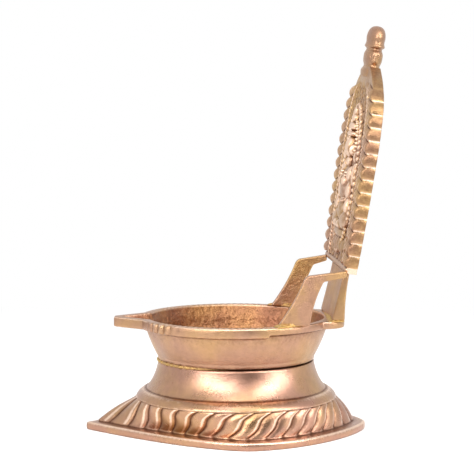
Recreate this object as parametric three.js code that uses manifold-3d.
// A kamakshi oil lamp in cast bronze: foot, bowl, two side arms and a relief back plate, brazed together.
// Millimetres, +Z up. The spout points to -Y and the back plate stands at +Y.
// The origin is on the axis of the bowl, in the plane that the foot stands on.
import * as THREE from 'three';
import { mergeVertices } from 'three/addons/utils/BufferGeometryUtils.js';
import Module from 'manifold-3d';

const wasm = await Module();
wasm.setup();

// Joints between castings: a bed of brazing metal with a fine gap on each side
const clearance = 0.3;
const brazeThickness = 0.8;

// Foot: leaf-shaped base plate, seen from above
const leafFront = 52.9;
const leafRear = 45.8;
const leafHalfWidth = 41;
const leafWidestY = 3;
const leafFrontPower = 1.5;
const leafRearPower = 1.7;
const leafRearRoundness = 0.7;
const edgeHeight = 2.8;
const ledgeWidth = 4.4;
const ledgeRise = 0.8;

// Foot: gadrooned skirt, plain collar and waisted neck
const fluteCount = 36;
const columnsPerFlute = 4;
const fluteDepth = 1.1;
const fluteSlant = 0.24;
const skirtRings = 4;
const collarBottomRadius = 35.4;
const collarBottomZ = 11.8;
const collarTopRadius = 32.8;
const collarTopZ = 14.9;
const neckBottomRadius = 31.3;
const neckBottomZ = 15.7;
const neckTopRadius = 27.6;
const neckWaistRadius = 28.6;
const neckWaistZ = 19;
const neckRings = 3;
const footHeight = 24.6;
const footWall = 2.8;

// Bowl: tapered body with a rim band
const bowlHeight = 14.4;
const bowlBottomRadius = 27.6;
const bowlTopRadius = 32;
const bowlBulge = 0.4;
const bowlWall = 2.9;
const bowlFloor = 3;
const bowlColumns = 72;
const rimOverhang = 2.3;
const rimRadius = bowlTopRadius + rimOverhang;
const rimHeight = 3.5;
const rimWidth = 3.2;
const rearRimStep = 0.9;
const rearRimAngle = 1.26;

// Bowl: pointed wick spout and rear lug
const spoutReach = 8.7;
const spoutLength = rimRadius + spoutReach;
const spoutTipHalfWidth = 1.7;
const spoutFlare = 0.8;
const spoutTroughDepth = 2;
const lugReach = 3.4;
const lugLength = rimRadius + lugReach;
const lugHalfWidth = 18.2;
const lugCornerPower = 6;

// Side arms: upright cheeks with a rail back to the plate
const armInset = 7.3;
const armHalfSpacing = rimRadius - armInset;
const armThickness = 3;
const armFootFront = 13.6;
const armFootRear = 24.4;
const armBendY = 23;
const armRise = 16.9;
const armCheekTopY = 29;
const armCheekDrop = 1.7;
const railDepth = 2.1;
const railRise = 1.9;
const armBedStart = 0.8;
const armBedEnd = 1.15;

// Back plate: leaning relief slab with a petal border
const plateRise = 17.4;
const plateLean = THREE.MathUtils.degToRad(8.8);
const plateYaw = THREE.MathUtils.degToRad(3);
const plateHeight = 70.4;
const plateThickness = 3.2;
const plateOutline = [[0, 27.6], [12, 30], [32, 32], [plateHeight - 22.4, 31.6], [plateHeight - 11.4, 27],
  [plateHeight - 4.4, 17.5], [plateHeight, 7.6]];
const plateColumns = 24;
const petalCount = 14;
const rowsPerPetal = 4;
const petalZoneStart = 2.4;
const petalZoneTop = 6.4;
const petalZoneEnd = plateHeight - petalZoneTop;
const petalWidth = 8;
const petalScallop = 0.8;
const petalRelief = 2;
const beadRelief = 1.2;
const beadWidth = 1.6;
const edgeRelief = 0.5;

// Back plate: seated figure in relief, as smooth mounds [x, height, half-width, half-height, relief]
const figureMounds = [
  [0, 9, 15, 4, 1.8],
  [-9, 17, 7, 4, 2.8],
  [9, 17, 7, 4, 2.8],
  [0, 18, 9, 4.5, 2.4],
  [0, 29, 6.5, 9, 3.4],
  [-9, 29, 3.4, 6.5, 2.2],
  [9, 29, 3.4, 6.5, 2.2],
  [0, 42, 4.2, 4.8, 3.8],
  [0, 50, 3.6, 5.5, 2.8],
];

// Back plate: finial, as [radius, height above the plate's top], flattened front to back
const finialProfile = [[0, -3.4], [7.2, -3.4], [7.8, -1], [6, 0.6], [7.1, 2.6], [7.1, 5], [5.9, 6.4],
  [7.7, 7.3], [6.7, 8.6], [7.2, 10.4], [5.8, 12.8], [3, 14.2], [0, 14.5]];
const finialFlattening = 0.44;
const finialSegments = 20;

// Back plate: post that stands on the rear lug
const postHalfWidth = 16;
const postRearInset = 1.3;
const postFootDepth = 4.6;
const postFootRear = lugLength - postRearInset;
const postFootFront = postFootRear - postFootDepth;
const plateSetBack = 2.4;
const plateBackY = postFootRear + plateSetBack;
const postInset = 0.5;
const postOverlap = 3;

// Levels and places that follow from the sizes above
const bedDepth = brazeThickness + 2 * clearance;
const bowlBottomZ = footHeight + bedDepth;
const rimTopZ = bowlBottomZ + bowlHeight;
const rimBottomZ = rimTopZ - rimHeight;
const seatZ = rimTopZ + bedDepth;
const plateBottomZ = rimTopZ + plateRise;
const rimInnerRadius = rimRadius - rimWidth;

const lerp = THREE.MathUtils.lerp;

// Angles round the axis, counterclockwise from the front; zero looks to the rear (+Y).
function anglesRound(count) {
  return Array.from({ length: count }, (_, i) => Math.PI - (2 * Math.PI * i) / count);
}

function ring(angles, radiusAt, heightAt) {
  return angles.map((angle, i) => {
    const radius = radiusAt(angle, i);
    return new THREE.Vector3(radius * Math.sin(angle), radius * Math.cos(angle), heightAt(angle, i));
  });
}

// A closed skin over rings of equal length: joined end to end as a loop, or capped at both ends.
function loft(rings, isLoop) {
  const count = rings[0].length;
  const points = rings.flat();
  const triangles = [];
  const lastBand = isLoop ? rings.length : rings.length - 1;
  for (let band = 0; band < lastBand; band += 1) {
    const lower = band * count;
    const upper = ((band + 1) % rings.length) * count;
    for (let i = 0; i < count; i += 1) {
      const next = (i + 1) % count;
      triangles.push(lower + i, lower + next, upper + next);
      triangles.push(lower + i, upper + next, upper + i);
    }
  }
  if (!isLoop) {
    const top = (rings.length - 1) * count;
    const bottomCentre = points.push(centreOf(rings[0])) - 1;
    const topCentre = points.push(centreOf(rings[rings.length - 1])) - 1;
    for (let i = 0; i < count; i += 1) {
      const next = (i + 1) % count;
      triangles.push(bottomCentre, next, i);
      triangles.push(topCentre, top + i, top + next);
    }
  }
  return meshGeometry(points, triangles);
}

function centreOf(points) {
  const sum = points.reduce((total, point) => total.add(point), new THREE.Vector3());
  return sum.divideScalar(points.length);
}

function meshGeometry(points, triangles) {
  const geometry = new THREE.BufferGeometry().setFromPoints(points);
  geometry.setIndex(triangles);
  return geometry;
}

function toSolid(geometry) {
  const bare = geometry.clone();
  bare.deleteAttribute('normal');
  bare.deleteAttribute('uv');
  const merged = mergeVertices(bare, 1e-4);
  return new wasm.Manifold(new wasm.Mesh({
    numProp: 3,
    vertProperties: new Float32Array(merged.attributes.position.array),
    triVerts: new Uint32Array(merged.index.array),
  }));
}

function toGeometry(solid) {
  const mesh = solid.getMesh();
  const geometry = new THREE.BufferGeometry();
  geometry.setAttribute('position', new THREE.BufferAttribute(mesh.vertProperties, 3));
  geometry.setIndex(Array.from(mesh.triVerts));
  return geometry;
}

function bronze(color, roughness) {
  return new THREE.MeshStandardMaterial({ color, roughness, metalness: 1 });
}

function named(name, geometry, material) {
  geometry.computeVertexNormals();
  const mesh = new THREE.Mesh(geometry, material);
  mesh.name = name;
  return mesh;
}

// Half the leaf's width at a place along it: ogee point in front, blunt round at the rear.
function leafHalfWidthAt(y) {
  if (y >= leafWidestY) {
    const share = Math.min((y - leafWidestY) / (leafRear - leafWidestY), 1);
    return leafHalfWidth * (1 - share ** leafRearPower) ** leafRearRoundness;
  }
  const share = Math.min((leafWidestY - y) / (leafFront + leafWidestY), 1);
  return leafHalfWidth * (1 - share ** leafFrontPower);
}

// Distance from the axis to the leaf's outline, found by halving.
function leafRadius(angle) {
  let inside = 0;
  let outside = leafFront + leafRear;
  for (let step = 0; step < 44; step += 1) {
    const middle = (inside + outside) / 2;
    const isInside = Math.abs(middle * Math.sin(angle)) < leafHalfWidthAt(middle * Math.cos(angle));
    if (isInside) {
      inside = middle;
    } else {
      outside = middle;
    }
  }
  return inside;
}

// The foot is one hollow casting: leaf base, slanted gadroons, collar and neck, open underneath.
function footGeometry() {
  const columns = fluteCount * columnsPerFlute;
  const straight = anglesRound(columns);
  const slanted = (rise) => straight.map((angle) => angle - fluteSlant * rise * Math.sin(angle));
  const flute = (i) => Math.abs(Math.cos((fluteCount / 2) * straight[i]));
  const level = (z) => () => z;
  const skirtFootZ = edgeHeight + ledgeRise;
  const rings = [
    ring(slanted(0), leafRadius, level(0)),
    ring(slanted(0), leafRadius, level(edgeHeight)),
    ring(slanted(0), (angle) => leafRadius(angle) - ledgeWidth, level(skirtFootZ)),
  ];
  for (let k = 1; k < skirtRings; k += 1) {
    const rise = k / skirtRings;
    const swell = fluteDepth * Math.sqrt(Math.sin(Math.PI * rise));
    const radiusAt = (angle, i) => {
      return lerp(leafRadius(angle) - ledgeWidth, collarBottomRadius, rise) + swell * (flute(i) - 0.3);
    };
    rings.push(ring(slanted(rise), radiusAt, level(lerp(skirtFootZ, collarBottomZ, rise))));
  }
  rings.push(ring(slanted(1), () => collarBottomRadius, level(collarBottomZ)));
  rings.push(ring(slanted(1), () => collarTopRadius, level(collarTopZ)));
  const neck = new THREE.QuadraticBezierCurve(
    new THREE.Vector2(neckBottomRadius, neckBottomZ),
    new THREE.Vector2(neckWaistRadius, neckWaistZ),
    new THREE.Vector2(neckTopRadius, footHeight),
  );
  for (const point of neck.getPoints(neckRings)) {
    rings.push(ring(slanted(1), () => point.x, level(point.y)));
  }
  const hollowEdge = (angle) => leafRadius(angle) - ledgeWidth - footWall / 2;
  rings.push(ring(slanted(1), () => neckTopRadius - footWall, level(footHeight)));
  rings.push(ring(slanted(1), () => neckWaistRadius - footWall, level(neckWaistZ)));
  rings.push(ring(slanted(0), (angle) => hollowEdge(angle) - footWall / 2, level(edgeHeight)));
  rings.push(ring(slanted(0), hollowEdge, level(0)));
  return loft(rings, true);
}

// Plan of the spout: straight sides that flare from a blunt tip back to the rim.
function spoutRadius(angle, inset) {
  const offFront = Math.PI - Math.abs(angle);
  const reach = spoutLength - inset;
  const tipHalfWidth = Math.max(spoutTipHalfWidth - inset / 4, 0.4);
  if (offFront > 0.9) {
    return 0;
  }
  const side = (tipHalfWidth + spoutFlare * reach) / (Math.sin(offFront) + spoutFlare * Math.cos(offFront));
  return Math.min(side, reach / Math.cos(offFront));
}

function lugRadius(angle) {
  if (Math.abs(angle) > 1.2) {
    return 0;
  }
  const across = Math.abs(Math.sin(angle)) / lugHalfWidth;
  const along = Math.cos(angle) / lugLength;
  return (across ** lugCornerPower + along ** lugCornerPower) ** (-1 / lugCornerPower);
}

// The bowl is one casting: tapered body, rim band, spout with its trough, and the rear lug.
function bowlGeometry() {
  const angles = anglesRound(bowlColumns);
  const circle = (radius) => () => radius;
  const level = (z) => () => z;
  const rimOutline = (angle) => Math.max(rimRadius, spoutRadius(angle, 0), lugRadius(angle));
  const rimHollow = (angle) => Math.max(rimInnerRadius, spoutRadius(angle, rimWidth));
  const troughFloor = (angle) => Math.max(rimInnerRadius - 0.5, spoutRadius(angle, rimWidth + 0.8));
  const rimUnderside = (angle) => rimBottomZ + (Math.abs(angle) < rearRimAngle ? rearRimStep : 0);
  const wallMiddle = (bowlBottomRadius + bowlTopRadius) / 2 + bowlBulge;
  const floorZ = bowlBottomZ + bowlFloor;
  const rings = [
    ring(angles, circle(bowlBottomRadius), level(bowlBottomZ)),
    ring(angles, circle(wallMiddle), level((bowlBottomZ + rimBottomZ) / 2)),
    ring(angles, circle(bowlTopRadius), level(rimBottomZ)),
    ring(angles, rimOutline, rimUnderside),
    ring(angles, rimOutline, level(rimTopZ)),
    ring(angles, rimHollow, level(rimTopZ)),
    ring(angles, troughFloor, level(rimTopZ - spoutTroughDepth)),
    ring(angles, circle(bowlTopRadius - bowlWall), level(rimBottomZ - 1)),
    ring(angles, circle(wallMiddle - bowlWall), level(floorZ + 1.5)),
    ring(angles, circle(wallMiddle - bowlWall - 3), level(floorZ)),
  ];
  return loft(rings, false);
}

// Ring of brazing metal in the seam between the foot and the bowl.
function neckBrazeGeometry() {
  const angles = anglesRound(bowlColumns);
  const outer = neckTopRadius - 0.3;
  const inner = neckTopRadius - footWall + 0.3;
  const bottom = footHeight + clearance;
  const top = bottom + brazeThickness;
  const corners = [[inner, bottom], [outer, bottom], [outer, top], [inner, top]];
  return loft(corners.map(([radius, z]) => ring(angles, () => radius, () => z)), true);
}

// Turns a shape drawn in (y, z) and pushed out along its own depth into the lamp's frame, centred on x.
function extrudeAcross(shape, centreX, width, curveSegments) {
  const geometry = new THREE.ExtrudeGeometry(shape, { depth: width, bevelEnabled: false, curveSegments });
  const axes = new THREE.Matrix4().makeBasis(
    new THREE.Vector3(0, 1, 0),
    new THREE.Vector3(0, 0, 1),
    new THREE.Vector3(1, 0, 0),
  );
  geometry.applyMatrix4(axes);
  geometry.translate(centreX - width / 2, 0, 0);
  return geometry;
}

// Front face of the plate at a place across it and a height, with the plate's lean and twist.
function plateFrontY(x, z) {
  const leaned = plateBackY + (z - plateBottomZ) * Math.tan(plateLean);
  return leaned - (plateThickness + edgeRelief) / Math.cos(plateLean) + x * Math.sin(plateYaw);
}

function armGeometry(side) {
  const centreX = side * armHalfSpacing;
  const bendZ = rimTopZ + armRise;
  const nearestX = centreX - armThickness / 2;
  const railEnd = plateFrontY(nearestX, bendZ + railRise - railDepth) - clearance - 0.15;
  const shape = new THREE.Shape();
  shape.moveTo(armFootFront, seatZ);
  shape.lineTo(armFootRear, seatZ);
  shape.quadraticCurveTo(armFootRear + 1, (seatZ + bendZ) / 2, armCheekTopY, bendZ - armCheekDrop);
  shape.lineTo(railEnd, bendZ + railRise - railDepth);
  shape.lineTo(railEnd, bendZ + railRise);
  shape.lineTo(armBendY + 1, bendZ + 0.3);
  shape.quadraticCurveTo(armBendY, bendZ, armBendY - 0.6, bendZ - 1.2);
  shape.quadraticCurveTo((armFootFront + armBendY) / 2 + 1.4, (seatZ + bendZ) / 2, armFootFront, seatZ);
  return extrudeAcross(shape, centreX, armThickness, 5);
}

// Bed of brazing metal on the rim under an arm, an arc as wide as the rim.
function armBrazeGeometry(side) {
  const margin = 0.3;
  const middle = Math.PI / 2;
  const start = side > 0 ? middle - armBedEnd : middle + armBedStart;
  const end = side > 0 ? middle - armBedStart : middle + armBedEnd;
  const shape = new THREE.Shape();
  shape.absarc(0, 0, rimRadius - margin, start, end, false);
  shape.absarc(0, 0, rimInnerRadius + margin, end, start, true);
  shape.closePath();
  const geometry = new THREE.ExtrudeGeometry(shape, {
    depth: brazeThickness,
    bevelEnabled: false,
    curveSegments: 6,
  });
  geometry.translate(0, 0, rimTopZ + clearance);
  return geometry;
}

// Bed of brazing metal on the rear lug under the post.
function postBrazeGeometry() {
  const shape = new THREE.Shape();
  shape.moveTo(postFootFront + 0.4, rimTopZ + clearance);
  shape.lineTo(postFootRear - 0.4, rimTopZ + clearance);
  shape.lineTo(postFootRear - 0.8, rimTopZ + clearance + brazeThickness);
  shape.lineTo(postFootFront + 0.8, rimTopZ + clearance + brazeThickness);
  shape.closePath();
  return extrudeAcross(shape, 0, 2 * postHalfWidth - 1, 1);
}

const outlineCurve = new THREE.SplineCurve(plateOutline.map(([height, width]) => new THREE.Vector2(height, width)));
const outlinePoints = outlineCurve.getPoints(200);

// Half the plate's width at a height above its bottom edge, without the scallops.
function plateHalfWidthAt(height) {
  const after = outlinePoints.findIndex((point) => point.x >= height);
  if (after <= 0) {
    return after === 0 ? outlinePoints[0].y : outlinePoints[outlinePoints.length - 1].y;
  }
  const from = outlinePoints[after - 1];
  const to = outlinePoints[after];
  return lerp(from.y, to.y, (height - from.x) / (to.x - from.x));
}

function petalWave(height) {
  if (height < petalZoneStart || height > petalZoneEnd) {
    return 0;
  }
  const pitch = (petalZoneEnd - petalZoneStart) / petalCount;
  return Math.abs(Math.sin((Math.PI * (height - petalZoneStart)) / pitch));
}

function mound(x, height, [centreX, centreHeight, halfWidth, halfHeight, relief]) {
  const reach = ((x - centreX) / halfWidth) ** 2 + ((height - centreHeight) / halfHeight) ** 2;
  return reach < 1 ? relief * Math.sqrt(1 - reach) : 0;
}

// Relief above the plate's face: petals at the border, a bead line inside them, and the figure.
function reliefAt(x, height, halfWidth) {
  const fromEdge = halfWidth - Math.abs(x);
  if (fromEdge < petalWidth) {
    const across = Math.sin((Math.PI * Math.min(fromEdge + 1, petalWidth)) / (petalWidth + 1));
    return edgeRelief + petalRelief * petalWave(height) * across;
  }
  const bead = Math.abs(fromEdge - petalWidth - beadWidth) < beadWidth ? beadRelief : 0;
  const figure = Math.max(...figureMounds.map((entry) => mound(x, height, entry)));
  return Math.max(bead, figure, 0.2);
}

// The slab is a grid of relief heights in front, a flat back, and a scalloped edge between them.
function plateSlabGeometry() {
  const rows = [0];
  const petalRows = petalCount * rowsPerPetal;
  for (let k = 0; k <= petalRows; k += 1) {
    rows.push(lerp(petalZoneStart, petalZoneEnd, k / petalRows));
  }
  rows.push((petalZoneEnd + plateHeight) / 2, plateHeight);
  const points = [];
  const triangles = [];
  const stride = plateColumns + 1;
  for (const height of rows) {
    const halfWidth = plateHalfWidthAt(height) + petalScallop * petalWave(height);
    for (let j = 0; j <= plateColumns; j += 1) {
      const x = halfWidth * Math.sin(((j / plateColumns) * 2 - 1) * (Math.PI / 2) * 0.8) / Math.sin(0.4 * Math.PI);
      points.push(new THREE.Vector3(x, height, plateThickness + reliefAt(x, height, halfWidth)));
    }
  }
  for (let r = 0; r < rows.length - 1; r += 1) {
    for (let j = 0; j < plateColumns; j += 1) {
      const corner = r * stride + j;
      triangles.push(corner, corner + 1, corner + stride + 1);
      triangles.push(corner, corner + stride + 1, corner + stride);
    }
  }
  const border = [];
  for (let j = 0; j < plateColumns; j += 1) border.push(j);
  for (let r = 0; r < rows.length - 1; r += 1) border.push(r * stride + plateColumns);
  for (let j = plateColumns; j > 0; j -= 1) border.push((rows.length - 1) * stride + j);
  for (let r = rows.length - 1; r > 0; r -= 1) border.push(r * stride);
  const backStart = points.length;
  const flat = border.map((index) => new THREE.Vector2(points[index].x, points[index].y));
  flat.forEach((point) => points.push(new THREE.Vector3(point.x, point.y, 0)));
  for (let k = 0; k < border.length; k += 1) {
    const next = (k + 1) % border.length;
    triangles.push(border[k], backStart + k, backStart + next);
    triangles.push(border[k], backStart + next, border[next]);
  }
  for (const [a, b, c] of THREE.ShapeUtils.triangulateShape(flat, [])) {
    triangles.push(backStart + a, backStart + c, backStart + b);
  }
  return meshGeometry(points, triangles);
}

function finialGeometry() {
  const profile = finialProfile.map(([radius, height]) => new THREE.Vector2(radius, height));
  const geometry = new THREE.LatheGeometry(profile, finialSegments);
  geometry.scale(1, 1, finialFlattening);
  geometry.translate(0, plateHeight, plateThickness / 2 + 0.6);
  return geometry;
}

function postGeometry() {
  const top = plateBottomZ + postOverlap;
  const backAtTop = plateBackY + postOverlap * Math.tan(plateLean);
  const shape = new THREE.Shape();
  shape.moveTo(postFootFront, seatZ);
  shape.lineTo(postFootRear, seatZ);
  shape.quadraticCurveTo(postFootRear, (seatZ + top) / 2, backAtTop - postInset, top);
  shape.lineTo(backAtTop - plateThickness + postInset, top);
  shape.quadraticCurveTo(backAtTop - plateThickness - 1, (seatZ + top) / 2 + 2, postFootFront, seatZ);
  return extrudeAcross(shape, 0, 2 * postHalfWidth, 4);
}

// The back plate is one casting: relief slab, finial and post, with the slab leaning back.
function backPlateGeometry() {
  const lean = new THREE.Matrix4().makeRotationX(Math.PI / 2 - plateLean);
  lean.setPosition(0, plateBackY, plateBottomZ);
  const slab = toSolid(plateSlabGeometry().applyMatrix4(lean));
  const finial = toSolid(finialGeometry().applyMatrix4(lean));
  return toGeometry(slab.add(finial).add(toSolid(postGeometry())));
}

const castCopper = 0xb08a63;
const castBrown = 0x8a6848;
const brazeYellow = 0xc8a24e;

const lamp = new THREE.Group();
lamp.add(named('foot', footGeometry(), bronze(castCopper, 0.4)));
lamp.add(named('neck_braze', neckBrazeGeometry(), bronze(brazeYellow, 0.7)));
lamp.add(named('bowl', bowlGeometry(), bronze(castCopper, 0.42)));
lamp.add(named('right_arm', armGeometry(1), bronze(castCopper, 0.45)));
lamp.add(named('left_arm', armGeometry(-1), bronze(castCopper, 0.45)));
lamp.add(named('right_arm_braze', armBrazeGeometry(1), bronze(brazeYellow, 0.7)));
lamp.add(named('left_arm_braze', armBrazeGeometry(-1), bronze(brazeYellow, 0.7)));
lamp.add(named('post_braze', postBrazeGeometry(), bronze(brazeYellow, 0.7)));

// The plate is brazed on with a slight twist about the upright line through its post.
const postMiddleY = (postFootFront + postFootRear) / 2;
const backPlate = named('back_plate', backPlateGeometry(), bronze(castBrown, 0.5));
backPlate.position.y = -postMiddleY;
const twist = new THREE.Group();
twist.position.y = postMiddleY;
twist.rotation.z = plateYaw;
twist.add(backPlate);
lamp.add(twist);

export default lamp;
